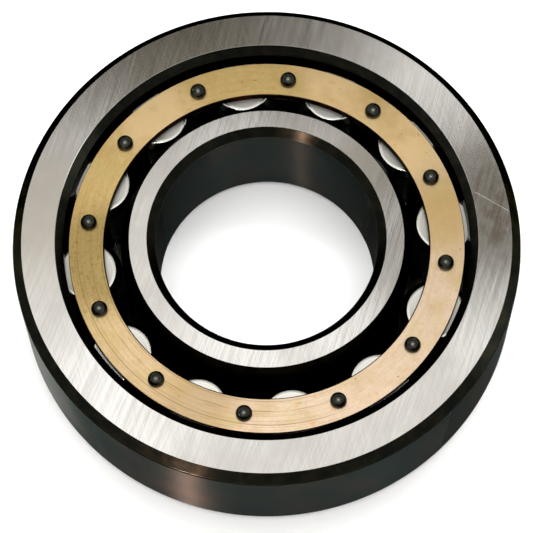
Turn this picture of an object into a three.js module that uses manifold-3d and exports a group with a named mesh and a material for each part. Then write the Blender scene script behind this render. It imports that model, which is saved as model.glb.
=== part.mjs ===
// A single-row cylindrical roller bearing with one loose rib: the outer ring has two ribs, the inner ring has one,
// and twelve rollers run in a machined brass cage whose cover is riveted on through the bars between the pockets.
// Units are millimetres. Z is the bearing's axis, and the origin is the centre of the bearing on that axis.
// The inner ring's rib is at the -Z end, so the inner ring can be drawn out towards -Z.
import * as THREE from "three";
import { mergeVertices } from "three/addons/utils/BufferGeometryUtils.js";
import Module from "manifold-3d";

// Boundary dimensions
const BORE_RADIUS = 17.5;
const OUTSIDE_RADIUS = 40;
const HALF_WIDTH = 10.5;

// Rolling elements
const ROLLER_COUNT = 12;
const ROLLER_RADIUS = 5.5;
const ROLLER_HALF_LENGTH = 6;
const ROLLER_CHAMFER = 1;
const PITCH_RADIUS = 28.6;
const RADIAL_CLEARANCE = 0.04; // from a roller to each raceway
const END_CLEARANCE = 0.06; // from a roller's end to each rib

// Rings
const OUTER_CORNER = 1.5;
const OUTER_RIB_RADIUS = 32;
const OUTER_RIB_LEAD_IN = 1.3;
const BORE_CORNER = 1.3;
const INNER_RIB_RADIUS = 25.3;
const INNER_RIB_CORNER = 1.1;
const LEAD_IN_DEPTH = 1.45; // the taper that guides the open end of the inner ring past the rollers
const LEAD_IN_LENGTH = 3.2;
const GROOVE_DEPTH = 0.25; // grinding relief at the foot of each rib
const GROOVE_WIDTH = 0.6;
const GROOVE_RUN_OUT = 0.2;

// Cage
const CAGE_INSIDE_RADIUS = 25.7;
const CAGE_OUTSIDE_RADIUS = 31.3;
const CAGE_HALF_WIDTH = 7.6;
const CAGE_EDGE = 0.25;
const POCKET_CLEARANCE = 0.15; // around a roller
const POCKET_END_CLEARANCE = 0.2; // beyond a roller's end
const JOINT_GAP = 0.05; // between parts that are clamped or pressed together

// Rivets
const RIVET_CIRCLE_RADIUS = 28.4;
const RIVET_SHANK_RADIUS = 0.95;
const RIVET_HEAD_RADIUS = 1.28;
const RIVET_HEAD_SIDE = 0.5; // the straight part of the head, below its dome
const RIVET_DOME_HEIGHT = 1.15;
const RIVET_TAIL_RADIUS = 1.4;
const RIVET_TAIL_HEIGHT = 0.8;

// Facets around each kind of round surface
const RING_FACETS = 72;
const ROLLER_FACETS = 24;
const POCKET_FACETS = 32;
const RIVET_FACETS = 12;
const DOME_STEPS = 3;

// Derived sizes
const ROLLER_PITCH_ANGLE = (2 * Math.PI) / ROLLER_COUNT;
const OUTER_RACEWAY_RADIUS = PITCH_RADIUS + ROLLER_RADIUS + RADIAL_CLEARANCE;
const INNER_RACEWAY_RADIUS = PITCH_RADIUS - ROLLER_RADIUS - RADIAL_CLEARANCE;
const RIB_FACE = ROLLER_HALF_LENGTH + END_CLEARANCE;
const POCKET_RADIUS = ROLLER_RADIUS + POCKET_CLEARANCE;
const POCKET_END = ROLLER_HALF_LENGTH + POCKET_END_CLEARANCE;

const wasm = await Module();
wasm.setup();

const steel = new THREE.MeshStandardMaterial({ color: 0xb4b0aa, roughness: 0.35, metalness: 1 });
const rollerSteel = new THREE.MeshStandardMaterial({ color: 0xd8d6d0, roughness: 0.18, metalness: 1 });
const brass = new THREE.MeshStandardMaterial({ color: 0xd2a763, roughness: 0.38, metalness: 1 });
const darkSteel = new THREE.MeshStandardMaterial({ color: 0x2c2a29, roughness: 0.3, metalness: 1 });

// The vertex radius of a hole whose facets' middles lie at the radius given, so that a round part of that size fits.
function hollow(radius, facets) {
  return radius / Math.cos(Math.PI / facets);
}

// Revolves [radius, height] pairs, listed upwards along the outside, about Z.
function revolve(profile, facets) {
  const points = profile.map(([radius, height]) => new THREE.Vector2(radius, height));
  return new THREE.LatheGeometry(points, facets).rotateX(Math.PI / 2);
}

// Revolves a section that doesn't touch the axis: its last point is joined to its first.
function revolveRing(section, facets) {
  return revolve([...section, section[0]], facets);
}

// The same section upside down, in reverse order so that it carries on from the upright one.
function mirrored(section) {
  return section.map(([radius, height]) => [radius, -height]).reverse();
}

function toSolid(geometry) {
  const bare = geometry.clone();
  bare.deleteAttribute("normal");
  bare.deleteAttribute("uv");
  const merged = mergeVertices(bare, 1e-4);
  return new wasm.Manifold(
    new wasm.Mesh({
      numProp: 3,
      vertProperties: merged.attributes.position.array,
      triVerts: new Uint32Array(merged.index.array),
    }),
  );
}

function toGeometry(solid) {
  const mesh = solid.getMesh();
  const geometry = new THREE.BufferGeometry();
  geometry.setAttribute("position", new THREE.BufferAttribute(mesh.vertProperties, 3));
  geometry.setIndex(new THREE.BufferAttribute(mesh.triVerts, 1));
  geometry.computeVertexNormals();
  return geometry;
}

function named(name, geometry, material) {
  const mesh = new THREE.Mesh(geometry, material);
  mesh.name = name;
  return mesh;
}

// Two-figure number of a repeated part, counted from 1.
function numbered(stem, index) {
  return `${stem}_${String(index + 1).padStart(2, "0")}`;
}

// Places an object on a circle about Z.
function placeOnCircle(object, radius, angle) {
  object.position.set(radius * Math.cos(angle), radius * Math.sin(angle), 0);
  return object;
}

// Roller centres start on +X; rivets stand halfway between them.
function rollerAngle(index) {
  return index * ROLLER_PITCH_ANGLE;
}

function rivetAngle(index) {
  return (index + 0.5) * ROLLER_PITCH_ANGLE;
}

function outerRingGeometry() {
  const ribRadius = hollow(OUTER_RIB_RADIUS, RING_FACETS);
  const raceway = hollow(OUTER_RACEWAY_RADIUS, RING_FACETS);
  const grooveEnd = RIB_FACE - GROOVE_WIDTH;
  const upperHalf = [
    [OUTSIDE_RADIUS, HALF_WIDTH - OUTER_CORNER],
    [OUTSIDE_RADIUS - OUTER_CORNER, HALF_WIDTH],
    [ribRadius + OUTER_RIB_LEAD_IN, HALF_WIDTH],
    [ribRadius, HALF_WIDTH - OUTER_RIB_LEAD_IN],
    [ribRadius, RIB_FACE],
    [raceway + GROOVE_DEPTH, RIB_FACE],
    [raceway + GROOVE_DEPTH, grooveEnd],
    [raceway, grooveEnd - GROOVE_RUN_OUT],
  ];
  return revolveRing([...upperHalf, ...mirrored(upperHalf)], RING_FACETS);
}

function innerRingGeometry() {
  const bore = hollow(BORE_RADIUS, RING_FACETS);
  const grooveEnd = RIB_FACE - GROOVE_WIDTH;
  const section = [
    [bore, BORE_CORNER - HALF_WIDTH],
    [bore + BORE_CORNER, -HALF_WIDTH],
    [INNER_RIB_RADIUS - INNER_RIB_CORNER, -HALF_WIDTH],
    [INNER_RIB_RADIUS, INNER_RIB_CORNER - HALF_WIDTH],
    [INNER_RIB_RADIUS, -RIB_FACE],
    [INNER_RACEWAY_RADIUS - GROOVE_DEPTH, -RIB_FACE],
    [INNER_RACEWAY_RADIUS - GROOVE_DEPTH, -grooveEnd],
    [INNER_RACEWAY_RADIUS, GROOVE_RUN_OUT - grooveEnd],
    [INNER_RACEWAY_RADIUS, HALF_WIDTH - LEAD_IN_LENGTH],
    [INNER_RACEWAY_RADIUS - LEAD_IN_DEPTH, HALF_WIDTH],
    [bore + BORE_CORNER, HALF_WIDTH],
    [bore, HALF_WIDTH - BORE_CORNER],
  ];
  return revolveRing(section, RING_FACETS);
}

function rollerGeometry() {
  const endRadius = ROLLER_RADIUS - ROLLER_CHAMFER;
  const profile = [
    [0, -ROLLER_HALF_LENGTH],
    [endRadius, -ROLLER_HALF_LENGTH],
    [ROLLER_RADIUS, ROLLER_CHAMFER - ROLLER_HALF_LENGTH],
    [ROLLER_RADIUS, ROLLER_HALF_LENGTH - ROLLER_CHAMFER],
    [endRadius, ROLLER_HALF_LENGTH],
    [0, ROLLER_HALF_LENGTH],
  ];
  return revolve(profile, ROLLER_FACETS);
}

// A plain ring of rectangular section with broken edges, from which a cage part is machined.
function cageBlank(bottom, top) {
  const inside = hollow(CAGE_INSIDE_RADIUS, RING_FACETS);
  const section = [
    [inside, bottom + CAGE_EDGE],
    [inside + CAGE_EDGE, bottom],
    [CAGE_OUTSIDE_RADIUS - CAGE_EDGE, bottom],
    [CAGE_OUTSIDE_RADIUS, bottom + CAGE_EDGE],
    [CAGE_OUTSIDE_RADIUS, top - CAGE_EDGE],
    [CAGE_OUTSIDE_RADIUS - CAGE_EDGE, top],
    [inside + CAGE_EDGE, top],
    [inside, top - CAGE_EDGE],
  ];
  return revolveRing(section, RING_FACETS);
}

// A round cutter that drills a hole of the given radius between two heights.
function cutter(radius, facets, bottom, top) {
  const length = top - bottom;
  return new THREE.CylinderGeometry(hollow(radius, facets), hollow(radius, facets), length, facets)
    .rotateX(Math.PI / 2)
    .translate(0, 0, bottom + length / 2);
}

// Cuts one copy of the cutter at each angle of a circle about Z.
function cutAround(solid, tool, radius, angleOf) {
  let left = solid;
  for (let index = 0; index < ROLLER_COUNT; index += 1) {
    const angle = angleOf(index);
    const placed = tool.clone().translate(radius * Math.cos(angle), radius * Math.sin(angle), 0);
    left = left.subtract(toSolid(placed));
  }
  return left;
}

function rivetHoles(solid) {
  const reach = CAGE_HALF_WIDTH + 1;
  const drill = cutter(RIVET_SHANK_RADIUS + JOINT_GAP, RIVET_FACETS, -reach, reach);
  return cutAround(solid, drill, RIVET_CIRCLE_RADIUS, rivetAngle);
}

// One side ring and the bars that separate the rollers, in one piece.
function cageBodyGeometry() {
  const barEnd = POCKET_END - JOINT_GAP;
  const blank = toSolid(cageBlank(-CAGE_HALF_WIDTH, barEnd));
  const pocket = cutter(POCKET_RADIUS, POCKET_FACETS, -POCKET_END, barEnd + 1);
  const pocketed = cutAround(blank, pocket, PITCH_RADIUS, rollerAngle);
  return toGeometry(rivetHoles(pocketed));
}

function cageCoverGeometry() {
  return toGeometry(rivetHoles(toSolid(cageBlank(POCKET_END, CAGE_HALF_WIDTH))));
}

// [radius, height] pairs of a spherical cap from its rim, at height 0, up to its crown on the axis.
function dome(rimRadius, height) {
  const sphereRadius = (rimRadius ** 2 + height ** 2) / (2 * height);
  const rimAngle = Math.acos((sphereRadius - height) / sphereRadius);
  const steps = Array.from({ length: DOME_STEPS + 1 }, (_, step) => 1 - step / DOME_STEPS);
  return steps.map((share) => [
    sphereRadius * Math.sin(rimAngle * share),
    sphereRadius * Math.cos(rimAngle * share) - (sphereRadius - height),
  ]);
}

// A round-headed rivet: the made head is at the cover's side, and the closed tail is at the other.
function rivetGeometry() {
  const seat = CAGE_HALF_WIDTH + JOINT_GAP;
  const rim = seat + RIVET_HEAD_SIDE;
  const head = dome(RIVET_HEAD_RADIUS, RIVET_DOME_HEIGHT).map(([radius, height]) => [radius, rim + height]);
  const tail = dome(RIVET_TAIL_RADIUS, RIVET_TAIL_HEIGHT).map(([radius, height]) => [radius, -seat - height]);
  const profile = [
    ...tail.reverse(),
    [RIVET_SHANK_RADIUS, -seat],
    [RIVET_SHANK_RADIUS, seat],
    [RIVET_HEAD_RADIUS, seat],
    ...head,
  ];
  return revolve(profile, RIVET_FACETS);
}

function rollerSet() {
  const set = new THREE.Group();
  const geometry = rollerGeometry();
  for (let index = 0; index < ROLLER_COUNT; index += 1) {
    const roller = named(numbered("roller", index), geometry, rollerSteel);
    set.add(placeOnCircle(roller, PITCH_RADIUS, rollerAngle(index)));
  }
  return set;
}

function rivetedCage() {
  const cage = new THREE.Group();
  cage.add(named("cage_body", cageBodyGeometry(), brass));
  cage.add(named("cage_cover", cageCoverGeometry(), brass));
  const geometry = rivetGeometry();
  for (let index = 0; index < ROLLER_COUNT; index += 1) {
    const rivet = named(numbered("rivet", index), geometry, darkSteel);
    cage.add(placeOnCircle(rivet, RIVET_CIRCLE_RADIUS, rivetAngle(index)));
  }
  return cage;
}

const bearing = new THREE.Group();
bearing.add(named("outer_ring", outerRingGeometry(), steel));
bearing.add(named("inner_ring", innerRingGeometry(), steel));
bearing.add(rollerSet());
bearing.add(rivetedCage());

export default bearing;
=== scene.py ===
"""A cylindrical roller bearing lying flat on a pale floor, under soft studio light.

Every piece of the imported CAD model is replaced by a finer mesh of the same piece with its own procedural
metal. Lengths are in metres in the CAD's frame: Z is the bearing's axis and the origin is its centre.
"""

import math

import bmesh
import bpy
from mathutils import Matrix, Vector


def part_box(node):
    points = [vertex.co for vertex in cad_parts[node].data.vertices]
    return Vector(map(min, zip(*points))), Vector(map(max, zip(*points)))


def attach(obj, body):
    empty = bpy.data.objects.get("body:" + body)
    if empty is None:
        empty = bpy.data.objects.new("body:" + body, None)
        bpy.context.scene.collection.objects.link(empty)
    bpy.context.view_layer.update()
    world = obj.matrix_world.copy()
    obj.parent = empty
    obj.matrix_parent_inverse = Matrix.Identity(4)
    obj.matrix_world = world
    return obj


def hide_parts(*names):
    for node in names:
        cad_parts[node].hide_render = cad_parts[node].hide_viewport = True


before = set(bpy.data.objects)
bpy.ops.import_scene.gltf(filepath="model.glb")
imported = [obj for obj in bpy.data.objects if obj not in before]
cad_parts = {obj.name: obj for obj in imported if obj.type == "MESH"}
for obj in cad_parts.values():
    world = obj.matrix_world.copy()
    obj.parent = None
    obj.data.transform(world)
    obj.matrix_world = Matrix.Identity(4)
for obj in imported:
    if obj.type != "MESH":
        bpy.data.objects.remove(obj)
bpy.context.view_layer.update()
MM = 0.001
scene = bpy.context.scene


# ---- Camera -----------------------------------------------------------------

CAMERA_AZIMUTH = math.radians(-6.9)
CAMERA_ELEVATION = math.radians(69.13)
CAMERA_DISTANCE = 0.4119
CAMERA_ROLL = math.radians(1.12)
CAMERA_LENS = 167.75
CAMERA_SENSOR = 36.0
CAMERA_SHIFT = (0.0146, -0.0109)
CAMERA_CLIP = (0.01, 20)


def facing_frame():
    """The camera's right, away and up directions, with right and away level."""
    right = Vector((math.cos(CAMERA_AZIMUTH), math.sin(CAMERA_AZIMUTH), 0))
    away = Vector((-math.sin(CAMERA_AZIMUTH), math.cos(CAMERA_AZIMUTH), 0))
    return right, away, Vector((0, 0, 1))


def make_camera():
    """A long lens at the photograph's angle, aimed past the bearing's centre by the shift."""
    right, away, up = facing_frame()
    backward = up * math.sin(CAMERA_ELEVATION) - away * math.cos(CAMERA_ELEVATION)
    over = backward.cross(right)
    turn = Matrix((right, over, backward)).transposed() @ Matrix.Rotation(-CAMERA_ROLL, 3, "Z")
    data = bpy.data.cameras.new("camera")
    data.lens = CAMERA_LENS
    data.sensor_width = CAMERA_SENSOR
    data.shift_x, data.shift_y = CAMERA_SHIFT
    data.clip_start, data.clip_end = CAMERA_CLIP
    camera = bpy.data.objects.new("camera", data)
    camera.matrix_world = Matrix.Translation(backward * CAMERA_DISTANCE) @ turn.to_4x4()
    scene.collection.objects.link(camera)
    scene.camera = camera


make_camera()


# ---- Sizes, from the frame where its boxes give them ------------------------

def box_radius(node):
    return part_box(node)[1].x


def numbered(stem):
    """The frame's nodes whose names start with the stem, in order."""
    return sorted(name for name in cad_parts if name.startswith(stem))


ROLLERS = numbered("roller_")
RIVETS = numbered("rivet_")
PITCH_ANGLE = 2 * math.pi / len(ROLLERS)
HALF_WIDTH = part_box("outer_ring")[1].z
OUTSIDE_RADIUS = box_radius("outer_ring")
INNER_RIB_RADIUS = box_radius("inner_ring")
CAGE_OUTSIDE_RADIUS = box_radius("cage_cover")
CAGE_HALF_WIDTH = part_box("cage_cover")[1].z
COVER_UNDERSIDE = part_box("cage_cover")[0].z
BAR_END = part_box("cage_body")[1].z
ROLLER_LOW, ROLLER_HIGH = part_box(ROLLERS[0])
ROLLER_RADIUS = (ROLLER_HIGH.x - ROLLER_LOW.x) / 2
ROLLER_HALF_LENGTH = ROLLER_HIGH.z
PITCH_RADIUS = (ROLLER_HIGH.x + ROLLER_LOW.x) / 2
RIVET_LOW, RIVET_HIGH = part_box(RIVETS[0])
RIVET_TAIL_END, RIVET_HEAD_END = RIVET_LOW.z, RIVET_HIGH.z
RIVET_TAIL_RADIUS = (RIVET_HIGH.x - RIVET_LOW.x) / 2
RIVET_CIRCLE_RADIUS = ((RIVET_HIGH + RIVET_LOW) / 2).xy.length

RADIAL_CLEARANCE = 0.04 * MM
END_CLEARANCE = 0.06 * MM
BORE_RADIUS = 17.5 * MM
BORE_CORNER = 1.3 * MM
OUTER_CORNER = 1.5 * MM
OUTER_RIB_RADIUS = 32 * MM
OUTER_RIB_LEAD_IN = 1.3 * MM
INNER_RIB_CORNER = 1.1 * MM
LEAD_IN_DEPTH = 1.45 * MM
LEAD_IN_LENGTH = 3.2 * MM
GROOVE_DEPTH = 0.25 * MM
GROOVE_WIDTH = 0.6 * MM
GROOVE_RUN_OUT = 0.2 * MM
ROLLER_CHAMFER = 1.0 * MM
ROLLER_DISH_RADIUS = 4.15 * MM
ROLLER_DISH_SLOPE = math.radians(2.2)
ROLLER_BAND_SLOPE = math.radians(3.5)
CAGE_INSIDE_RADIUS = 25.7 * MM
POCKET_CLEARANCE = 0.15 * MM
POCKET_RADIUS = ROLLER_RADIUS + POCKET_CLEARANCE
POCKET_END = COVER_UNDERSIDE
RIVET_SHANK_RADIUS = 0.95 * MM
RIVET_HEAD_RADIUS = 1.28 * MM
RIVET_HEAD_SIDE = 0.5 * MM
JOINT_GAP = 0.05 * MM

# How far edges are broken, and the radii that corners are rounded to.
EDGE = 0.12 * MM
BRIGHT_EDGE = 0.055 * MM
SOFT_EDGE = 0.3 * MM
OUTER_SOFT_EDGE = 0.5 * MM
RIB_SOFT_EDGE = 0.25 * MM
LEAD_IN_SOFT_EDGE = 1.5 * MM
DISH_SOFT_EDGE = 2 * MM
ROLLER_EDGE = 0.08 * MM
ROLLER_SOFT_EDGE = 0.5 * MM
CAGE_EDGE = 0.18 * MM
COVER_LOWER_EDGE = 0.25 * MM
COVER_OUTER_EDGE = 0.08 * MM
RIVET_EDGE = 0.05 * MM

OUTER_RACEWAY_RADIUS = PITCH_RADIUS + ROLLER_RADIUS + RADIAL_CLEARANCE
INNER_RACEWAY_RADIUS = PITCH_RADIUS - ROLLER_RADIUS - RADIAL_CLEARANCE
RIB_FACE = ROLLER_HALF_LENGTH + END_CLEARANCE

RING_STEPS = 288
ROLLER_STEPS = 72
RIVET_STEPS = 36
FILLET_STEPS = 4
FILLET_STEP_LENGTH = 0.15 * MM
POCKET_ARC_STEPS = 12
POCKET_WALL_STEPS = 20
CAGE_EDGE_STEPS = 3
DOME_STEPS = 8
DRILL_DEPTH = 4 * HALF_WIDTH

ON_AXIS = 1e-9  # a smaller radius than this is on the axis
SAME_PLACE_DIGITS = 8  # decimals of a metre that two corners of the cage share when they are one
SHARP_ANGLE = math.radians(35)
CAGE_BEVEL_ANGLE = math.radians(30)
# Cage faces less level than this are painted near-black as shade.
LEVEL_ENOUGH = 0.99  # a normal's height, from which a face of the cage counts as level
UNEVEN_TURN = 2.4  # radians between copies of a round piece, so that their grain differs
OWN_PLACE = "own_place"
FACE, WALL, DARK = 0, 1, 2  # the rings' material slots


# ---- Meshes -----------------------------------------------------------------

def fillet(before, corner, after, radius):
    """Points along an arc of the given radius that rounds a corner of an outline."""
    to_before = (before - corner).normalized()
    to_after = (after - corner).normalized()
    half_angle = to_before.angle(to_after) / 2
    reach = radius / math.tan(half_angle)
    centre = corner + (to_before + to_after).normalized() * (radius / math.sin(half_angle))
    start = corner + to_before * reach - centre
    end = corner + to_after * reach - centre
    sweep = start.angle_signed(end)
    steps = max(FILLET_STEPS, round(radius * abs(sweep) / FILLET_STEP_LENGTH))
    turns = (Matrix.Rotation(-sweep * step / steps, 2) for step in range(steps + 1))
    return [centre + turn @ start for turn in turns]


def rounded(corners, closed):
    """An outline of (radius, height, material) points from corners of (radius, height, rounding, material).

    A corner's material is that of the surface from there to the next corner, and of its own rounding.
    """
    places = [Vector(corner[:2]) for corner in corners]
    outline = []
    for index, (radius, height, rounding, material) in enumerate(corners):
        on_end = not closed and index in (0, len(corners) - 1)
        if rounding == 0 or on_end:
            outline.append((radius, height, material))
            continue
        before, after = places[index - 1], places[(index + 1) % len(places)]
        points = fillet(before, places[index], after, rounding)
        outline.extend((point.x, point.y, material) for point in points)
    return outline


def lathe(name, corners, materials, steps, closed=True):
    """A piece turned about Z. An outline that isn't closed starts and ends on the axis."""
    outline = rounded(corners, closed)
    mesh = bmesh.new()
    rings = []
    for radius, height, _ in outline:
        count = 1 if radius < ON_AXIS else steps
        turns = (2 * math.pi * step / steps for step in range(count))
        points = [(radius * math.cos(turn), radius * math.sin(turn), height) for turn in turns]
        rings.append([mesh.verts.new(point) for point in points])
    spans = len(outline) if closed else len(outline) - 1
    for index in range(spans):
        lower, upper = rings[index], rings[(index + 1) % len(rings)]
        for step in range(steps):
            around = (step + 1) % steps
            square = [
                lower[step % len(lower)],
                lower[around % len(lower)],
                upper[around % len(upper)],
                upper[step % len(upper)],
            ]
            face = mesh.faces.new(dict.fromkeys(square))  # without the repeats of a point on the axis
            face.material_index = outline[index][2]
    return finish_piece(name, mesh, materials)


def finish_piece(name, mesh, materials):
    """Makes an object of a bmesh, with smooth rounds, true flats and closed, outward surfaces."""
    bmesh.ops.recalc_face_normals(mesh, faces=mesh.faces)
    data = bpy.data.meshes.new(name)
    mesh.to_mesh(data)
    mesh.free()
    for material in materials:
        data.materials.append(material)
    data.shade_smooth()
    data.set_sharp_from_angle(angle=SHARP_ANGLE)
    piece = bpy.data.objects.new(name, data)
    scene.collection.objects.link(piece)
    return piece


def apply_modifiers(piece):
    """Gives the piece the mesh that its modifiers make of it, and takes them off."""
    bpy.context.view_layer.update()
    evaluated = piece.evaluated_get(bpy.context.evaluated_depsgraph_get())
    data = bpy.data.meshes.new_from_object(evaluated)
    data.name = piece.name
    piece.modifiers.clear()
    piece.data = data


def settle(piece):
    """Keeps flats looking flat beside rounded edges, and stores each point's place for the materials."""
    weighted = piece.modifiers.new("flats", "WEIGHTED_NORMAL")
    weighted.keep_sharp = True
    apply_modifiers(piece)
    places = piece.data.attributes.new(OWN_PLACE, "FLOAT_VECTOR", "POINT")
    for point, vertex in zip(places.data, piece.data.vertices):
        point.vector = vertex.co
    return piece


def stand_in(piece, node, body):
    """The piece stands for a CAD node, whose part it hides, and moves with its body."""
    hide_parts(node)
    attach(piece, body)
    return piece


def rivet_places():
    """The middle of each rivet's shank, as the frame places it."""
    middles = [(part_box(node)[0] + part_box(node)[1]) / 2 for node in RIVETS]
    angles = [math.atan2(middle.y, middle.x) for middle in middles]
    return [Vector((math.cos(angle), math.sin(angle), 0)) * RIVET_CIRCLE_RADIUS for angle in angles]


def drill_rivet_holes(piece):
    """Cuts a hole through the piece, along Z, for each rivet."""
    mesh = bmesh.new()
    radius = RIVET_SHANK_RADIUS + JOINT_GAP
    for place in rivet_places():
        bmesh.ops.create_cone(
            mesh,
            cap_ends=True,
            segments=RIVET_STEPS,
            radius1=radius,
            radius2=radius,
            depth=DRILL_DEPTH,
            matrix=Matrix.Translation(place),
        )
    data = bpy.data.meshes.new("drill")
    mesh.to_mesh(data)
    mesh.free()
    tool = bpy.data.objects.new("drill", data)
    scene.collection.objects.link(tool)
    cut = piece.modifiers.new("holes", "BOOLEAN")
    cut.operation = "DIFFERENCE"
    cut.solver = "EXACT"
    cut.object = tool
    apply_modifiers(piece)
    bpy.data.objects.remove(tool)


# ---- Node helpers -----------------------------------------------------------

MIX_COLOUR_INPUTS, MIX_COLOUR_OUTPUT = (6, 7), 2
DROP_Z = (1, 1, 0)
GRIND_ARC_RADIUS = 500.0
TOP_MASK_START, TOP_MASK_END = 0.3, 0.1
PATCH_RAGGEDNESS = 8.0
STROKE_END_FADE = 0.4


class Metal:
    """A metal's node tree, with short calls for the nodes that the finishes are made of.

    All of its lengths are in millimetres, and its directions are angles to X.
    """

    def __init__(self, name):
        self.material = bpy.data.materials.new(name)
        self.material.use_nodes = True
        self.tree = self.material.node_tree
        self.shader = self.tree.nodes["Principled BSDF"]
        self.shader.inputs["Metallic"].default_value = 1.0
        own_place = self.node("ShaderNodeAttribute", {"attribute_name": OWN_PLACE})
        self.place = self.vector("SCALE", own_place.outputs["Vector"], scale=1 / MM)
        self.level_place = self.vector("MULTIPLY", self.place, DROP_Z)
        self.radius = self.vector("LENGTH", self.level_place)
        self.z = self.node("ShaderNodeSeparateXYZ", Vector=self.place).outputs["Z"]

    def node(self, kind, settings=None, **inputs):
        node = self.tree.nodes.new(kind)
        for key, value in (settings or {}).items():
            setattr(node, key, value)
        for key, value in inputs.items():
            self.feed(node.inputs[key.replace("_", " ")], value)
        return node

    def feed(self, socket, value):
        if isinstance(value, bpy.types.NodeSocket):
            self.tree.links.new(value, socket)
        else:
            socket.default_value = value

    def vector(self, operation, first, second=None, scale=None):
        node = self.node("ShaderNodeVectorMath", {"operation": operation})
        self.feed(node.inputs[0], first)
        if second is not None:
            self.feed(node.inputs[1], second)
        if scale is not None:
            self.feed(node.inputs["Scale"], scale)
        return node.outputs["Value" if operation in ("LENGTH", "DISTANCE", "DOT_PRODUCT") else "Vector"]

    def maths(self, operation, *values, clamp=False):
        node = self.node("ShaderNodeMath", {"operation": operation, "use_clamp": clamp})
        for socket, value in zip(node.inputs, values):
            self.feed(socket, value)
        return node.outputs[0]

    def join(self, x, y, z):
        node = self.node("ShaderNodeCombineXYZ", X=x, Y=y, Z=z)
        return node.outputs[0]

    def noise(self, vector, scale, detail=3.0, roughness=0.55):
        sockets = {"Vector": vector, "Scale": scale, "Detail": detail, "Roughness": roughness}
        return self.node("ShaderNodeTexNoise", **sockets).outputs["Fac"]

    def spread(self, value, low, high, to_low=0.0, to_high=1.0):
        """The value rescaled from low..high to to_low..to_high, smoothly, and held within it."""
        node = self.node("ShaderNodeMapRange", {"interpolation_type": "SMOOTHSTEP"})
        for key, number in (("Value", value), ("From Min", low), ("From Max", high),
                            ("To Min", to_low), ("To Max", to_high)):
            self.feed(node.inputs[key], number)
        return node.outputs["Result"]

    def mix(self, share, first, second):
        """A colour between two, each given as three numbers or as a socket."""
        node = self.node("ShaderNodeMix", {"data_type": "RGBA"})
        self.feed(node.inputs["Factor"], share)
        for socket, colour in zip(MIX_COLOUR_INPUTS, (first, second)):
            given = isinstance(colour, bpy.types.NodeSocket)
            self.feed(node.inputs[socket], colour if given else (*colour, 1))
        return node.outputs[MIX_COLOUR_OUTPUT]

    def lay_over(self, colour, tone, mask, share):
        """The colour with a tone over it where the mask is, as strong as the share."""
        return self.mix(self.maths("MULTIPLY", mask, share), colour, tone)

    def blend(self, *shares):
        """The sum of (value, share) pairs."""
        total = 0.0
        for value, share in shares:
            total = self.maths("ADD", total, self.maths("MULTIPLY", value, share))
        return total

    def travel(self, bearing):
        """How far a point lies in a direction."""
        return self.vector("DOT_PRODUCT", self.place, (math.cos(bearing), math.sin(bearing), 0))

    def lines(self, bearing, spacing, length):
        """Long, slightly curved grinding lines in a direction, as a grey value.

        Spacing and length are those of a typical line.
        """
        across = Vector((-math.sin(bearing), math.cos(bearing), 0))
        distance = self.vector("DISTANCE", self.place, tuple(across * GRIND_ARC_RADIUS))
        level = self.maths("DIVIDE", distance, spacing)
        along = self.maths("DIVIDE", self.travel(bearing), length)
        return self.noise(self.join(level, along, 0.0), scale=1.0, detail=2.0)

    def rings(self, spacing, breaks=1.5):
        """Fine turning lines about Z on flats and cylinders, as a grey value. Breaks make them shorter."""
        level = self.maths("DIVIDE", self.maths("ADD", self.radius, self.z), spacing)
        drift = self.maths("MULTIPLY", self.noise(self.place, scale=0.2, detail=1.0), breaks)
        return self.noise(self.join(level, drift, 0.0), scale=1.0, detail=2.0)

    def on_top(self, height):
        """A mask of what lies at or above a height."""
        return self.spread(self.z, height - TOP_MASK_START, height - TOP_MASK_END)

    def patch(self, circle_radius, bearing, edge, core, ragged):
        """A mask of a soft patch about a point on a circle about Z.

        It starts at the edge's radius and is full inside the core's. A grey value makes the edge uneven.
        """
        middle = (circle_radius * math.cos(bearing), circle_radius * math.sin(bearing), 0)
        reach = self.vector("DISTANCE", self.level_place, middle)
        uneven_reach = self.blend((reach, 1), (ragged, PATCH_RAGGEDNESS))
        return self.spread(uneven_reach, edge + PATCH_RAGGEDNESS / 2, core + PATCH_RAGGEDNESS / 2)

    def stroke(self, start, end, width, height):
        """A mask of one straight scratch on the flat at a height, between two points."""
        start, end = Vector(start), Vector(end)
        along = (end - start).normalized()
        bearing = math.atan2(along.y, along.x)
        sideways = self.maths("SUBTRACT", self.travel(bearing + math.pi / 2), along.cross(start))
        line = self.spread(self.maths("ABSOLUTE", sideways), width, 0.0)
        first, last, fade = start.dot(along), end.dot(along), STROKE_END_FADE
        beyond_start = self.spread(self.travel(bearing), first - fade, first + fade)
        before_end = self.spread(self.travel(bearing), last + fade, last - fade)
        inside = self.maths("MULTIPLY", beyond_start, before_end)
        return self.maths("MULTIPLY", self.maths("MULTIPLY", line, inside), self.on_top(height))

    def finish(self, colour, roughness, height, depth):
        """Feeds the shader. Depth is the bump's depth, in metres here, for a height from 0 to 1."""
        self.feed(self.shader.inputs["Base Color"], colour)
        self.feed(self.shader.inputs["Roughness"], roughness)
        bump = self.node("ShaderNodeBump", Height=height, Distance=depth)
        self.feed(self.shader.inputs["Normal"], bump.outputs["Normal"])
        return self.material

    def constant(self, **sockets):
        """Sets numbers that are the same all over the surface on the shader's own sockets."""
        for key, value in sockets.items():
            self.shader.inputs[key.replace("_", " ")].default_value = value


# ---- Metals -----------------------------------------------------------------

# The greys of a noise between which a finish changes: nearly all, most, and the middle ones of a lay.
WIDE_GREYS = (0.3, 0.7)
MOST_GREYS = (0.35, 0.65)
LAY_GREYS = (0.36, 0.64)

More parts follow.
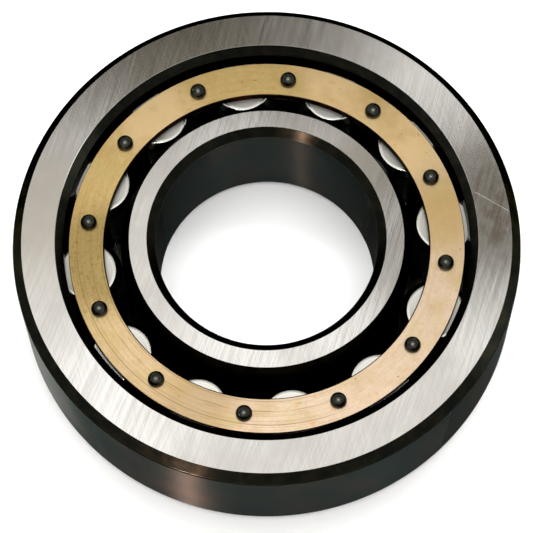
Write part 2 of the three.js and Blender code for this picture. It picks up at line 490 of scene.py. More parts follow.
GRIND_BEARING = math.radians(65)
CROSS_GRIND_BEARING = math.radians(98)
SCRATCH_START, SCRATCH_END, SCRATCH_WIDTH = (33.6, 2.9), (38.3, -1.05), 0.12
FAINT_SCRATCH_START, FAINT_SCRATCH_END, FAINT_SCRATCH_WIDTH = (34.6, 4.6), (37.2, 6.4), 0.10
SMUDGE_CENTRE = (35.8, -0.5)
SMUDGE_SQUEEZE = 0.42  # across X, which makes the smudge longer along Y
SMUDGE_EDGE, SMUDGE_CORE = 6.2, 1.2
OUTER_FACE_CIRCLE, INNER_FACE_CIRCLE = 35.9, 20.3
FACE_PATCH_CORE = 1 / 4  # of a patch's reach

# Patches of the faces, brighter ones of painted highlight and darker ones of painted shade: the circle they
# lie on, their direction and their reach.
HIGHLIGHT_PATCHES = (
    (OUTER_FACE_CIRCLE, math.radians(34), 13.0),
    (OUTER_FACE_CIRCLE, math.radians(222), 20.0),
    (OUTER_FACE_CIRCLE, math.radians(332), 15.0),
    (INNER_FACE_CIRCLE, math.radians(246), 14.0),
    (INNER_FACE_CIRCLE, math.radians(300), 12.0),
    (INNER_FACE_CIRCLE, math.radians(100), 12.0),
)
SHADE_PATCHES = (
    (OUTER_FACE_CIRCLE, math.radians(104), 18.0),
    (OUTER_FACE_CIRCLE, math.radians(166), 16.0),
    (INNER_FACE_CIRCLE, math.radians(30), 9.0),
)


def ground_steel():
    """Bright side faces, surface-ground in long shallow arcs that cross, with scratches, one smudge, painted
    highlights in brighter patches and painted shade in darker ones.
    """
    metal = Metal("ground_steel")
    top = HALF_WIDTH / MM
    grey, bright_grey, clouded_grey = (0.55, 0.533, 0.50), (0.71, 0.695, 0.665), (0.47, 0.44, 0.395)
    # The bright patch tone is a painted highlight and the brownish patch tone is painted shade.
    highlight_tone, shade_tone = (0.90, 0.89, 0.865), (0.37, 0.33, 0.265)
    smudge_tone, scratch_tone = (0.16, 0.125, 0.085), (0.90, 0.87, 0.81)

    fine = metal.lines(GRIND_BEARING, spacing=0.22, length=9.0)
    broad = metal.lines(GRIND_BEARING, spacing=0.9, length=22.0)
    crossing = metal.lines(CROSS_GRIND_BEARING, spacing=0.3, length=8.0)
    lay = metal.blend((fine, 0.45), (broad, 0.35), (crossing, 0.2))
    uneven = metal.spread(metal.noise(metal.place, scale=0.16, detail=2.0), 0.35, 0.68, 0.35, 1.0)
    cloud = metal.noise(metal.place, scale=0.07)

    squeezed = metal.vector("MULTIPLY", metal.place, (1, SMUDGE_SQUEEZE, 0))
    squeezed_centre = (SMUDGE_CENTRE[0], SMUDGE_CENTRE[1] * SMUDGE_SQUEEZE, 0)
    off_smudge = metal.vector("DISTANCE", squeezed, squeezed_centre)
    smudge = metal.maths("MULTIPLY", metal.spread(off_smudge, SMUDGE_EDGE, SMUDGE_CORE), metal.on_top(top))
    streaks = metal.blend((broad, 0.5), (fine, 0.2), (metal.noise(metal.place, scale=0.45), 0.3))
    rubbed = metal.maths("MULTIPLY", smudge, metal.spread(streaks, 0.42, 0.57, 0.35, 1.0))
    scratch = metal.stroke(SCRATCH_START, SCRATCH_END, SCRATCH_WIDTH, top)
    faint_scratch = metal.stroke(FAINT_SCRATCH_START, FAINT_SCRATCH_END, FAINT_SCRATCH_WIDTH, top)

    lit = metal.maths("MULTIPLY", metal.spread(lay, *LAY_GREYS), uneven)
    colour = metal.mix(lit, grey, bright_grey)
    colour = metal.mix(metal.spread(cloud, 0.38, 0.65, 0.0, 0.30), colour, clouded_grey)
    # Painted highlight in the brighter patches, then painted shade in the darker ones.
    for circle_radius, bearing, reach in HIGHLIGHT_PATCHES:
        highlight_patch = metal.patch(circle_radius, bearing, reach, reach * FACE_PATCH_CORE, cloud)
        glint = metal.maths("MULTIPLY", highlight_patch, metal.spread(lay, *LAY_GREYS, 0.25, 0.85))
        colour = metal.mix(glint, colour, highlight_tone)
    for circle_radius, bearing, reach in SHADE_PATCHES:
        shade_patch = metal.patch(circle_radius, bearing, reach, reach * FACE_PATCH_CORE, cloud)
        colour = metal.lay_over(colour, shade_tone, shade_patch, 0.55)
    colour = metal.lay_over(colour, smudge_tone, rubbed, 0.88)
    colour = metal.mix(metal.blend((scratch, 0.3), (faint_scratch, 0.15)), colour, scratch_tone)
    gloss = metal.spread(lay, *WIDE_GREYS, 0.13, 0.18)
    roughness = metal.blend((gloss, 1), (rubbed, 0.05), (scratch, 0.1))
    height = metal.blend((lay, 1), (scratch, -1))
    return metal.finish(colour, roughness, height, depth=0.003 * MM)


def wall_steel():
    """The bore and the outside, ground round and round, so that they spread light along the axis. Their
    near-black colour is a painted dark reflection.
    """
    metal = Metal("wall_steel")
    # Painted dark reflection: these near-black tones stand in for the dark surroundings that the bright
    # ground steel mirrors.
    green_black, brown_black = (0.037, 0.045, 0.042), (0.048, 0.045, 0.040)
    band_tone = (0.033, 0.041, 0.040)
    hone = metal.rings(spacing=0.12)
    band = metal.rings(spacing=1.3)
    haze = metal.noise(metal.place, scale=0.12)
    colour = metal.mix(metal.spread(haze, 0.42, 0.62), green_black, brown_black)
    colour = metal.mix(metal.spread(band, 0.4, 0.65, 0.0, 0.5), colour, band_tone)
    gloss = metal.spread(hone, *MOST_GREYS, 0.30, 0.33)
    roughness = metal.blend((gloss, 1), (metal.spread(haze, *WIDE_GREYS), 0.03))
    metal.constant(Specular_Tint=(0.1, 0.1, 0.1, 1), Anisotropic=1.0, Anisotropic_Rotation=0.25)
    tangent = metal.node("ShaderNodeTangent", {"direction_type": "RADIAL", "axis": "Z"})
    metal.feed(metal.shader.inputs["Tangent"], tangent.outputs["Tangent"])
    return metal.finish(colour, roughness, hone, depth=0.0004 * MM)


def shaded_steel():
    """Near-black surfaces between the rings, and their corners, painted dark as shade."""
    metal = Metal("shaded_steel")
    shade_black, brown_black = (0.008, 0.009, 0.007), (0.014, 0.013, 0.009)
    turned = metal.rings(spacing=0.2)
    scale = metal.noise(metal.place, scale=0.5, detail=4.0)
    colour = metal.mix(metal.spread(scale, 0.4, 0.65), shade_black, brown_black)
    gloss = metal.spread(turned, *WIDE_GREYS, 0.16, 0.20)
    roughness = metal.blend((gloss, 1), (metal.spread(scale, 0.4, 0.7), 0.03))
    metal.constant(Specular_Tint=(0.3, 0.3, 0.3, 1))
    return metal.finish(colour, roughness, turned, depth=0.0006 * MM)


def roller_steel():
    """Superfinished rollers with fine-ground, slightly cloudy ends that are duller inside the dish."""
    metal = Metal("roller_steel")
    steel, bright_steel, clouded_steel = (0.68, 0.67, 0.62), (0.77, 0.76, 0.705), (0.60, 0.59, 0.52)
    dish_radius, dish_fade = ROLLER_DISH_RADIUS / MM, 0.05
    turned = metal.rings(spacing=0.18)
    cloud = metal.noise(metal.place, scale=0.35)
    dished = metal.spread(metal.radius, dish_radius + dish_fade, dish_radius - dish_fade)
    colour = metal.mix(metal.spread(turned, *MOST_GREYS), steel, bright_steel)
    colour = metal.mix(metal.spread(cloud, 0.5, 0.75, 0.0, 0.3), colour, clouded_steel)
    gloss = metal.spread(turned, *WIDE_GREYS, 0.16, 0.21)
    roughness = metal.blend((gloss, 1), (metal.spread(cloud, *WIDE_GREYS), 0.05), (dished, 0.18))
    return metal.finish(colour, roughness, turned, depth=0.0008 * MM)


# Painted light: the brass turns paler towards this bearing, between the start and end distances along it.
PAINTED_LIGHT_BEARING = math.radians(-62)
PAINTED_LIGHT_START, PAINTED_LIGHT_END = -24.0, 26.0
PATCH_CIRCLE_RADIUS = 28.4
TINT_CORE = 1 / 3  # of a patch's reach
OLIVE_BEARING = math.radians(178)
BROWN_BEARING = math.radians(240)
GOLD_BEARING = math.radians(2)
BRIGHT_BEARINGS = (math.radians(32), math.radians(122), math.radians(60))
BRIGHT_EDGE_REACH, BRIGHT_CORE_REACH = 10.0, 2.0
SPECKED_EDGE_REACH, SPECKED_CORE_REACH = 13.0, 5.0

# Tinted patches at places on the cage: direction, reach, strength and tone.
TINT_PATCHES = (
    (OLIVE_BEARING, 12.0, 0.85, (0.405, 0.29, 0.105)),
    (BROWN_BEARING, 9.0, 0.7, (0.50, 0.35, 0.18)),
    (GOLD_BEARING, 9.0, 0.7, (0.63, 0.435, 0.17)),
)

# Tarnish all over the cage: its noise's scale and detail, the greys where it starts and where it is full,
# its strength and its tone.
TARNISH = (
    (0.16, 4.0, 0.42, 0.68, 0.45, (0.565, 0.38, 0.135)),  # dull clouds
    (0.23, 2.0, 0.55, 0.75, 0.40, (0.63, 0.535, 0.195)),  # olive clouds
    (0.55, 1.0, 0.66, 0.78, 0.50, (0.76, 0.415, 0.155)),  # orange stains
    (1.4, 2.0, 0.70, 0.78, 0.75, (0.20, 0.11, 0.03)),  # dark specks
)

# Tool lines: radius about the tool's centre, width and strength. They show on one side only.
TOOL_CENTRE = (0.35, 0.3)
TOOL_LINES = ((30.3, 0.16, 0.65), (29.75, 0.11, 0.45))
GROOVE_SPACING, GROOVE_STRENGTH = 0.2, 0.6
TOOL_LINE_BEARING = math.radians(222)
TOOL_LINE_START, TOOL_LINE_FULL = 8.0, 22.0


def tool_lines(metal):
    """A mask of the cage's deeper turning lines, a little off the bearing's axis."""
    off_centre = metal.vector("DISTANCE", metal.place, (*TOOL_CENTRE, CAGE_HALF_WIDTH / MM))
    marks = []
    for radius, width, strength in TOOL_LINES:
        off_line = metal.maths("ABSOLUTE", metal.maths("SUBTRACT", off_centre, radius))
        marks.append((metal.spread(off_line, width, 0.0), strength))
    level = metal.maths("DIVIDE", off_centre, GROOVE_SPACING)
    drift = metal.noise(metal.place, scale=0.25, detail=1.0)
    grooves = metal.noise(metal.join(level, drift, 0.0), scale=1.0, detail=1.0)
    marks.append((metal.spread(grooves, 0.52, 0.72), GROOVE_STRENGTH))
    shown = metal.spread(metal.travel(TOOL_LINE_BEARING), TOOL_LINE_START, TOOL_LINE_FULL)
    return metal.maths("MULTIPLY", metal.blend(*marks), shown, clamp=True)


def turned_brass():
    """The cage's machined flats: broken turning lines, tool lines, tarnish in clouds and specks, and painted
    light that makes them paler towards the front and right.
    """
    metal = Metal("turned_brass")
    gold, bright_gold, lighter_gold = (0.665, 0.465, 0.18), (0.795, 0.58, 0.255), (0.91, 0.665, 0.35)
    tan, bright_tan = (0.73, 0.555, 0.385), (0.85, 0.67, 0.49)
    specked_tone, tool_line_tone = (0.17, 0.10, 0.03), (0.26, 0.155, 0.05)

    cloud = metal.noise(metal.place, scale=0.16, detail=4.0)
    fine = metal.rings(spacing=0.085, breaks=9.0)
    broad = metal.rings(spacing=0.42, breaks=6.0)
    grit = metal.noise(metal.place, scale=2.2)
    turned = metal.blend((fine, 0.4), (broad, 0.3), (grit, 0.3))
    lines = tool_lines(metal)

    golden = metal.mix(metal.spread(turned, *LAY_GREYS), gold, bright_gold)
    painted_light_colour = metal.mix(metal.spread(turned, *LAY_GREYS), tan, bright_tan)
    # Painted light: paler towards the front and right.
    pale = metal.spread(metal.travel(PAINTED_LIGHT_BEARING), PAINTED_LIGHT_START, PAINTED_LIGHT_END)
    colour = metal.mix(pale, golden, painted_light_colour)
    # Lighter gold patches at these bearings.
    for bearing in BRIGHT_BEARINGS:
        bright = metal.patch(PATCH_CIRCLE_RADIUS, bearing, BRIGHT_EDGE_REACH, BRIGHT_CORE_REACH, cloud)
        colour = metal.mix(bright, colour, lighter_gold)
    for bearing, reach, strength, tone in TINT_PATCHES:
        tinted = metal.patch(PATCH_CIRCLE_RADIUS, bearing, reach, reach * TINT_CORE, cloud)
        colour = metal.lay_over(colour, tone, tinted, strength)
    for scale, detail, low, high, strength, tone in TARNISH:
        tarnish = metal.noise(metal.place, scale, detail)
        colour = metal.mix(metal.spread(tarnish, low, high, 0.0, strength), colour, tone)
    fine_speck = metal.noise(metal.place, scale=1.7, detail=4.0, roughness=0.7)
    specked = metal.patch(PATCH_CIRCLE_RADIUS, OLIVE_BEARING, SPECKED_EDGE_REACH, SPECKED_CORE_REACH, cloud)
    specks = metal.maths("MULTIPLY", specked, metal.spread(fine_speck, 0.50, 0.76, 0.0, 0.75))
    colour = metal.mix(specks, colour, specked_tone)
    colour = metal.lay_over(colour, tool_line_tone, lines, 0.85)
    gloss = metal.spread(turned, *WIDE_GREYS, 0.33, 0.41)
    roughness = metal.blend((gloss, 1), (metal.spread(cloud, *WIDE_GREYS), 0.06))
    height = metal.blend((turned, 1), (lines, -1.5))
    return metal.finish(colour, roughness, height, depth=0.004 * MM)


def shaded_brass():
    """The cage's walls and pockets, painted near-black as shade, with a little brass showing through."""
    metal = Metal("shaded_brass")
    shade_brown, brass_brown = (0.014, 0.008, 0.004), (0.040, 0.022, 0.009)
    cloud = metal.noise(metal.place, scale=0.4, detail=4.0)
    turned = metal.rings(spacing=0.15)
    colour = metal.mix(metal.spread(cloud, 0.38, 0.66), shade_brown, brass_brown)
    gloss = metal.spread(turned, *WIDE_GREYS, 0.26, 0.34)
    roughness = metal.blend((gloss, 1), (metal.spread(cloud, *WIDE_GREYS), 0.08))
    metal.constant(Specular_Tint=(0.4, 0.4, 0.4, 1))
    return metal.finish(colour, roughness, turned, depth=0.002 * MM)


def rivet_steel():
    """Dark oiled steel, a little uneven from the rivet set."""
    metal = Metal("rivet_steel")
    dark_steel, worn_steel = (0.042, 0.044, 0.038), (0.085, 0.087, 0.074)
    cloud = metal.noise(metal.place, scale=0.9)
    colour = metal.mix(metal.spread(cloud, 0.35, 0.7), dark_steel, worn_steel)
    roughness = metal.spread(cloud, *WIDE_GREYS, 0.24, 0.34)
    metal.constant(Specular_Tint=(0.5, 0.5, 0.5, 1))
    return metal.finish(colour, roughness, cloud, depth=0.02 * MM)


# ---- Pieces -----------------------------------------------------------------

def mirrored(corners):
    """The same corners upside down, carried on in order; each surface keeps its own material."""
    flipped = [(r, -z, rounding) for r, z, rounding, _ in reversed(corners)]
    materials = [corner[3] for corner in reversed(corners)]
    materials = materials[1:] + [WALL]
    return [(*corner, material) for corner, material in zip(flipped, materials)]


def make_outer_ring(metals):
    """The upper half's outline, from the outside over the top and down to the raceway, and its mirror."""
    groove_end = RIB_FACE - GROOVE_WIDTH
    groove = OUTER_RACEWAY_RADIUS + GROOVE_DEPTH
    face_end = OUTER_RIB_RADIUS + OUTER_RIB_LEAD_IN
    upper = [
        (OUTSIDE_RADIUS, HALF_WIDTH - OUTER_CORNER, OUTER_SOFT_EDGE, DARK),
        (OUTSIDE_RADIUS - OUTER_CORNER + EDGE, HALF_WIDTH - EDGE, 0, DARK),
        (OUTSIDE_RADIUS - OUTER_CORNER, HALF_WIDTH, 0, FACE),
        (face_end, HALF_WIDTH, 0, FACE),
        (face_end - BRIGHT_EDGE, HALF_WIDTH - BRIGHT_EDGE, 0, DARK),
        (OUTER_RIB_RADIUS, HALF_WIDTH - OUTER_RIB_LEAD_IN, RIB_SOFT_EDGE, DARK),
        (OUTER_RIB_RADIUS, RIB_FACE, EDGE, DARK),
        (groove, RIB_FACE, 0, DARK),
        (groove, groove_end, 0, DARK),
        (OUTER_RACEWAY_RADIUS, groove_end - GROOVE_RUN_OUT, 0, DARK),
    ]
    ring = settle(lathe("outer_ring_piece", upper + mirrored(upper), metals, RING_STEPS))
    return stand_in(ring, "outer_ring", "outer_ring")


def make_inner_ring(metals):
    """The rib is at the lower end. The raceway runs out over a long lead-in at the upper one."""
    groove_end = RIB_FACE - GROOVE_WIDTH
    groove = INNER_RACEWAY_RADIUS - GROOVE_DEPTH
    corners = [
        (BORE_RADIUS, BORE_CORNER - HALF_WIDTH, SOFT_EDGE, DARK),
        (BORE_RADIUS + BORE_CORNER, -HALF_WIDTH, EDGE, FACE),
        (INNER_RIB_RADIUS - INNER_RIB_CORNER, -HALF_WIDTH, EDGE, DARK),
        (INNER_RIB_RADIUS, INNER_RIB_CORNER - HALF_WIDTH, SOFT_EDGE, DARK),
        (INNER_RIB_RADIUS, -RIB_FACE, EDGE, DARK),
        (groove, -RIB_FACE, 0, DARK),
        (groove, -groove_end, 0, DARK),
        (INNER_RACEWAY_RADIUS, GROOVE_RUN_OUT - groove_end, 0, DARK),
        (INNER_RACEWAY_RADIUS, HALF_WIDTH - LEAD_IN_LENGTH, LEAD_IN_SOFT_EDGE, DARK),
        (INNER_RACEWAY_RADIUS - LEAD_IN_DEPTH, HALF_WIDTH, 0, FACE),
        (BORE_RADIUS + BORE_CORNER, HALF_WIDTH, EDGE, DARK),
        (BORE_RADIUS, HALF_WIDTH - BORE_CORNER, SOFT_EDGE, WALL),
    ]
    ring = settle(lathe("inner_ring_piece", corners, metals, RING_STEPS))
    return stand_in(ring, "inner_ring", "inner_ring")


def make_rollers(metals):
    """Each end is slightly dished, with a band around the dish that falls away to a chamfer painted
    near-black as shade.
    """
    end_radius = ROLLER_RADIUS - ROLLER_CHAMFER
    dish_middle = ROLLER_HALF_LENGTH - ROLLER_DISH_RADIUS * math.tan(ROLLER_DISH_SLOPE)
    band_edge = ROLLER_HALF_LENGTH - (end_radius - ROLLER_DISH_RADIUS) * math.tan(ROLLER_BAND_SLOPE)
    chamfer_end = ROLLER_HALF_LENGTH - ROLLER_CHAMFER
    corners = [
        (0, -dish_middle, 0, 0),
        (ROLLER_DISH_RADIUS, -ROLLER_HALF_LENGTH, DISH_SOFT_EDGE, 0),
        (end_radius, -band_edge, ROLLER_EDGE, 0),
        (end_radius + EDGE, EDGE - band_edge, 0, 1),
        (ROLLER_RADIUS, -chamfer_end, ROLLER_SOFT_EDGE, 0),
        (ROLLER_RADIUS, chamfer_end, ROLLER_SOFT_EDGE, 1),
        (end_radius + EDGE, band_edge - EDGE, 0, 0),
        (end_radius, band_edge, ROLLER_EDGE, 0),
        (ROLLER_DISH_RADIUS, ROLLER_HALF_LENGTH, DISH_SOFT_EDGE, 0),
        (0, dish_middle, 0, 0),
    ]
    rollers = []
    for index, node in enumerate(ROLLERS):
        low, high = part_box(node)
        roller = settle(lathe(f"{node}_piece", corners, metals, ROLLER_STEPS, closed=False))
        roller.location = ((low.x + high.x) / 2, (low.y + high.y) / 2, 0)
        roller.rotation_euler.z = index * UNEVEN_TURN
        rollers.append(stand_in(roller, node, node))
    return rollers


def arc(centre, radius, start, end, steps):
    """Points on a circle from one angle to another, both ends included."""
    angles = [start + (end - start) * step / steps for step in range(steps + 1)]
    return [centre + Vector((math.cos(a), math.sin(a))) * radius for a in angles]


def pocket_reach(radius):
    """Half the angle, about the bearing's axis, that a pocket takes out of a circle of this radius."""
    cosine = (PITCH_RADIUS**2 + radius**2 - POCKET_RADIUS**2) / (2 * PITCH_RADIUS * radius)
    return math.acos(cosine)


def pocket_bearing(radius):
    """The direction, from a pocket's centre, of the point where its wall meets a circle about the axis.

    It is measured from the line that runs outwards through the pocket's centre.
    """
    reach = pocket_reach(radius)
    return math.atan2(radius * math.sin(reach), radius * math.cos(reach) - PITCH_RADIUS)


def cage_body_mesh():
    """The side ring and its bars as one closed bmesh with square edges."""
    mesh = bmesh.new()
    levels = {}

    def vertex(point, height):
        key = tuple(round(value, SAME_PLACE_DIGITS) for value in (point.x, point.y, height))
        if key not in levels:
            levels[key] = mesh.verts.new((point.x, point.y, height))
        return levels[key]

    def wall(points, bottom, top):
        for first, second in zip(points, points[1:]):
            square = ((first, bottom), (second, bottom), (second, top), (first, top))
            mesh.faces.new([vertex(point, height) for point, height in square])

    def about_axis(radius, start, end):
        return arc(Vector((0, 0)), radius, start, end, POCKET_ARC_STEPS)

    def pocket_wall(angle, side):
        """One side wall of the pocket at this angle, from the outside in; side is 1 or -1."""
        centre = Vector((math.cos(angle), math.sin(angle))) * PITCH_RADIUS
        start, end = angle + side * outer_bearing, angle + side * inner_bearing
        return arc(centre, POCKET_RADIUS, start, end, POCKET_WALL_STEPS)

    outer_reach, inner_reach = pocket_reach(CAGE_OUTSIDE_RADIUS), pocket_reach(CAGE_INSIDE_RADIUS)
    outer_bearing = pocket_bearing(CAGE_OUTSIDE_RADIUS)
    inner_bearing = pocket_bearing(CAGE_INSIDE_RADIUS)
    bottom, floor, top = -CAGE_HALF_WIDTH, -POCKET_END, BAR_END
    for index in range(len(ROLLERS)):
        angle = index * PITCH_ANGLE
        after = angle + PITCH_ANGLE
        pocket_out = about_axis(CAGE_OUTSIDE_RADIUS, angle - outer_reach, angle + outer_reach)
        pocket_in = about_axis(CAGE_INSIDE_RADIUS, angle - inner_reach, angle + inner_reach)
        bar_out = about_axis(CAGE_OUTSIDE_RADIUS, angle + outer_reach, after - outer_reach)
        bar_in = about_axis(CAGE_INSIDE_RADIUS, angle + inner_reach, after - inner_reach)
        left, right, next_right = pocket_wall(angle, 1), pocket_wall(angle, -1), pocket_wall(after, -1)
        floor_loop = pocket_out + left[1:-1] + pocket_in[::-1] + right[::-1][1:-1]
        mesh.faces.new([vertex(point, floor) for point in floor_loop])
        top_loop = bar_out + next_right[1:-1] + bar_in[::-1] + left[::-1][1:-1]
        mesh.faces.new([vertex(point, top) for point in top_loop])
        wall(bar_out, floor, top)
        wall(bar_in, floor, top)
        wall(left, floor, top)
        wall(next_right, floor, top)
        for outside, inside in ((pocket_out, pocket_in), (bar_out, bar_in)):
            wall(outside, bottom, floor)
            wall(inside, bottom, floor)
            for step in range(POCKET_ARC_STEPS):
                square = (outside[step], outside[step + 1], inside[step + 1], inside[step])
                mesh.faces.new([vertex(point, bottom) for point in square])
    bmesh.ops.recalc_face_normals(mesh, faces=mesh.faces)
    return mesh


def darken_walls(piece):
    """Gives everything but the piece's level faces its second material, which paints them near-black as
    shade.
    """
    for face in piece.data.polygons:
        face.material_index = int(abs(face.normal.z) < LEVEL_ENOUGH)


def make_cage_body(metals):
    """The lower side ring and the bars between the pockets, with their outward edges rounded."""
    mesh = cage_body_mesh()
    proud = [edge for edge in mesh.edges if edge.is_convex and edge.calc_face_angle() > CAGE_BEVEL_ANGLE]
    bmesh.ops.bevel(
        mesh,
        geom=proud,
        offset=CAGE_EDGE,
        offset_type="OFFSET",
        segments=CAGE_EDGE_STEPS,
        profile=0.5,
        affect="EDGES",
        clamp_overlap=True,
    )
    body = finish_piece("cage_body_piece", mesh, metals)
    drill_rivet_holes(body)
    darken_walls(body)
    return stand_in(settle(body), "cage_body", "cage")


def make_cage_cover(metals):
    """The flat ring that closes the pockets, with the rivet holes."""
    corners = [
        (CAGE_INSIDE_RADIUS, COVER_UNDERSIDE, COVER_LOWER_EDGE, 0),
        (CAGE_OUTSIDE_RADIUS, COVER_UNDERSIDE, COVER_LOWER_EDGE, 0),
        (CAGE_OUTSIDE_RADIUS, CAGE_HALF_WIDTH, COVER_OUTER_EDGE, 0),
        (CAGE_INSIDE_RADIUS, CAGE_HALF_WIDTH, CAGE_EDGE, 0),
    ]
    cover = lathe("cage_cover_piece", corners, metals, RING_STEPS)
    drill_rivet_holes(cover)
    darken_walls(cover)
    return stand_in(settle(cover), "cage_cover", "cage")


def dome(rim_radius, rim_height, top):
    """Corners of a round cap from its rim up to its top on the axis."""
    rise = top - rim_height
    sphere = (rim_radius**2 + rise**2) / (2 * abs(rise))
    rim_angle = math.atan2(rim_radius, sphere - abs(rise))
    corners = []
    for step in range(DOME_STEPS):
        angle = rim_angle * (1 - step / DOME_STEPS)
        drop = sphere * (1 - math.cos(angle))
        corners.append((sphere * math.sin(angle), top - math.copysign(drop, rise), 0, 0))
    return corners + [(0, top, 0, 0)]


def make_rivets(steel):
    """Round heads on the cover, shanks through the bars, and closed tails under the side ring."""
    seat = CAGE_HALF_WIDTH + JOINT_GAP
    shank = [
        (RIVET_SHANK_RADIUS, -seat, 0, 0),
        (RIVET_SHANK_RADIUS, seat, 0, 0),
        (RIVET_HEAD_RADIUS, seat, RIVET_EDGE, 0),
    ]
    tail = dome(RIVET_TAIL_RADIUS, -seat, RIVET_TAIL_END)[::-1]
    head = dome(RIVET_HEAD_RADIUS, seat + RIVET_HEAD_SIDE, RIVET_HEAD_END)
    corners = tail + shank + head
    rivets = []
    for index, (node, place) in enumerate(zip(RIVETS, rivet_places())):
        rivet = settle(lathe(f"{node}_piece", corners, [steel], RIVET_STEPS, closed=False))
        rivet.location = place
        rivet.rotation_euler.z = index * UNEVEN_TURN
        rivets.append(stand_in(rivet, node, "cage"))
    return rivets


ring_metals = [ground_steel(), wall_steel(), shaded_steel()]
cage_metals = [turned_brass(), shaded_brass()]
outer_ring = make_outer_ring(ring_metals)
inner_ring = make_inner_ring(ring_metals)
# The rollers' chamfers get the rings' near-black metal, which is painted shade.
rollers = make_rollers([roller_steel(), ring_metals[DARK]])
cage = [make_cage_body(cage_metals), make_cage_cover(cage_metals)]
rivets = make_rivets(rivet_steel())


# ---- Studio -----------------------------------------------------------------

FLOOR_HALF_SIZE = 3.0
FLOOR_TONE = (0.93, 0.93, 0.925, 1)
FLOOR_ROUGHNESS = 0.9
FLOOR_SPECULAR = 0.1
HORIZON_TONE = (0.80, 0.80, 0.79, 1)
CEILING_TONE = (0.11, 0.096, 0.072, 1)
HORIZON_HEIGHT, CEILING_HEIGHT = 0.25, 0.72  # on a sphere of radius 1 about the bearing
PANEL_HEIGHT = 0.75
LAMP_DISTANCE = 0.7
KEY_LAMP_DISTANCE = 0.9
WHITE_TINT = (1, 1, 1)
WARM_TINT = (1.0, 0.62, 0.52)
COOL_TINT = (0.85, 1.0, 0.97)


def make_floor():
    """A plain pale floor that the bearing lies on."""
    mesh = bpy.data.meshes.new("floor")
    signs = ((-1, -1), (1, -1), (1, 1), (-1, 1))
    corners = [(x * FLOOR_HALF_SIZE, y * FLOOR_HALF_SIZE, -HALF_WIDTH) for x, y in signs]
    mesh.from_pydata(corners, [], [(0, 1, 2, 3)])
    floor = bpy.data.objects.new("floor", mesh)
    scene.collection.objects.link(floor)
    material = bpy.data.materials.new("floor")
    material.use_nodes = True
    shader = material.node_tree.nodes["Principled BSDF"]
    shader.inputs["Base Color"].default_value = FLOOR_TONE
    shader.inputs["Roughness"].default_value = FLOOR_ROUGHNESS
    shader.inputs["Specular IOR Level"].default_value = FLOOR_SPECULAR
    mesh.materials.append(material)
    return floor


def light_only(lamp, pieces):
    """The lamp lights nothing but the pieces."""
    lit = bpy.data.collections.new(lamp.name + "_lit")
    for piece in pieces:
        lit.objects.link(piece)
    lamp.light_linking.receiver_collection = lit


def level_panel(name, right_span, away_span, radiance):
    """A flat softbox that faces down. Its spans are metres from the bearing's axis, as the camera sees it."""
    right, away, up = facing_frame()
    width, depth = right_span[1] - right_span[0], away_span[1] - away_span[0]
    data = bpy.data.lights.new(name, "AREA")
    data.shape = "RECTANGLE"
    data.size, data.size_y = width, depth
    data.energy = radiance * math.pi * width * depth
    lamp = bpy.data.objects.new(name, data)
    middle = right * sum(right_span) / 2 + away * sum(away_span) / 2 + up * PANEL_HEIGHT
    lamp.matrix_world = Matrix.Translation(middle) @ Matrix.Rotation(CAMERA_AZIMUTH, 4, "Z")
    scene.collection.objects.link(lamp)
    return lamp


def round_lamp(name, azimuth, elevation, size, irradiance, tint=WHITE_TINT, distance=LAMP_DISTANCE):
    """A round lamp that faces the bearing.

    Azimuth and elevation are in degrees, and azimuth is measured from the camera's, to the right.
    """
    azimuth, elevation = math.radians(azimuth), math.radians(elevation)
    right, away, up = facing_frame()
    level = right * math.sin(azimuth) - away * math.cos(azimuth)
    direction = level * math.cos(elevation) + up * math.sin(elevation)
    data = bpy.data.lights.new(name, "AREA")
    data.shape = "DISK"
    data.size = size
    data.energy = irradiance * math.pi * distance**2
    data.color = tint
    lamp = bpy.data.objects.new(name, data)
    turn = direction.to_track_quat("Z", "Y").to_matrix().to_4x4()
    lamp.matrix_world = Matrix.Translation(direction * distance) @ turn
    scene.collection.objects.link(lamp)
    return lamp


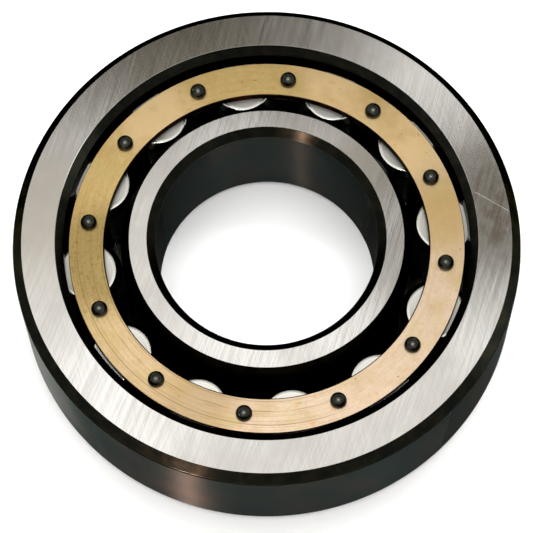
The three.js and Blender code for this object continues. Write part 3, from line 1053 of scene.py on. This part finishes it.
def make_world():
    """A pale horizon under a dimmer, warmer ceiling."""
    world = bpy.data.worlds.new("studio")
    world.use_nodes = True
    scene.world = world
    tree = world.node_tree
    direction = tree.nodes.new("ShaderNodeTexCoord").outputs["Generated"]
    parts = tree.nodes.new("ShaderNodeSeparateXYZ")
    tree.links.new(direction, parts.inputs[0])
    ramp = tree.nodes.new("ShaderNodeValToRGB")
    ramp.color_ramp.interpolation = "EASE"
    stops = ((HORIZON_HEIGHT, HORIZON_TONE), (CEILING_HEIGHT, CEILING_TONE))
    for element, (height, tone) in zip(ramp.color_ramp.elements, stops):
        element.position, element.color = height, tone
    tree.links.new(parts.outputs["Z"], ramp.inputs["Fac"])
    tree.links.new(ramp.outputs["Color"], tree.nodes["Background"].inputs["Color"])


floor = make_floor()
make_world()

# The level faces mirror the panels and, past the panels' far edges, the dim ceiling, which darkens them at
# the back. Each panel has its span to the right, its span away from the camera, and its radiance.
for name, right_span, away_span, radiance in (
    ("main_panel", (-0.45, 0.045), (0.10, 0.345), 1.12),
    ("right_panel", (0.045, 0.45), (0.10, 0.252), 1.20),
    ("back_right_panel", (0.045, 0.16), (0.345, 0.42), 1.2),
    ("front_panel", (-0.6, 0.6), (-0.8, 0.10), 1.15),
):
    level_panel(name, right_span, away_span, radiance)
light_only(level_panel("floor_wash", (-0.5, 0.5), (-0.5, 0.5), 13.0), [floor])

# The key lamp brightens the brass and the rivets, the small lamps draw the streaks on the round walls, and
# the wide ones the pale zones at the outside's left and right. Each has its azimuth, elevation, size,
# irradiance, tint and what it lights.
key_lamp = round_lamp("key_lamp", -12, 77, size=0.22, irradiance=1.0, distance=KEY_LAMP_DISTANCE)
light_only(key_lamp, rollers + cage + rivets)
for name, azimuth, elevation, size, irradiance, tint, lit in (
    ("warm_lamp", -26.9, 28, 0.03, 1.5, WARM_TINT, [inner_ring]),
    ("low_warm_lamp", -25.5, 6, 0.02, 3.8, WARM_TINT, [outer_ring]),
    ("left_lamp", -90, 45, 0.25, 9.0, WHITE_TINT, [outer_ring]),
    ("right_lamp", 84, 8, 0.3, 0.25, WHITE_TINT, [outer_ring]),
    ("cool_lamp", 34.1, 35, 0.03, 0.2, COOL_TINT, [outer_ring, inner_ring]),
):
    light_only(round_lamp(name, azimuth, elevation, size, irradiance, tint), lit)
scene.view_settings.view_transform = "Standard"
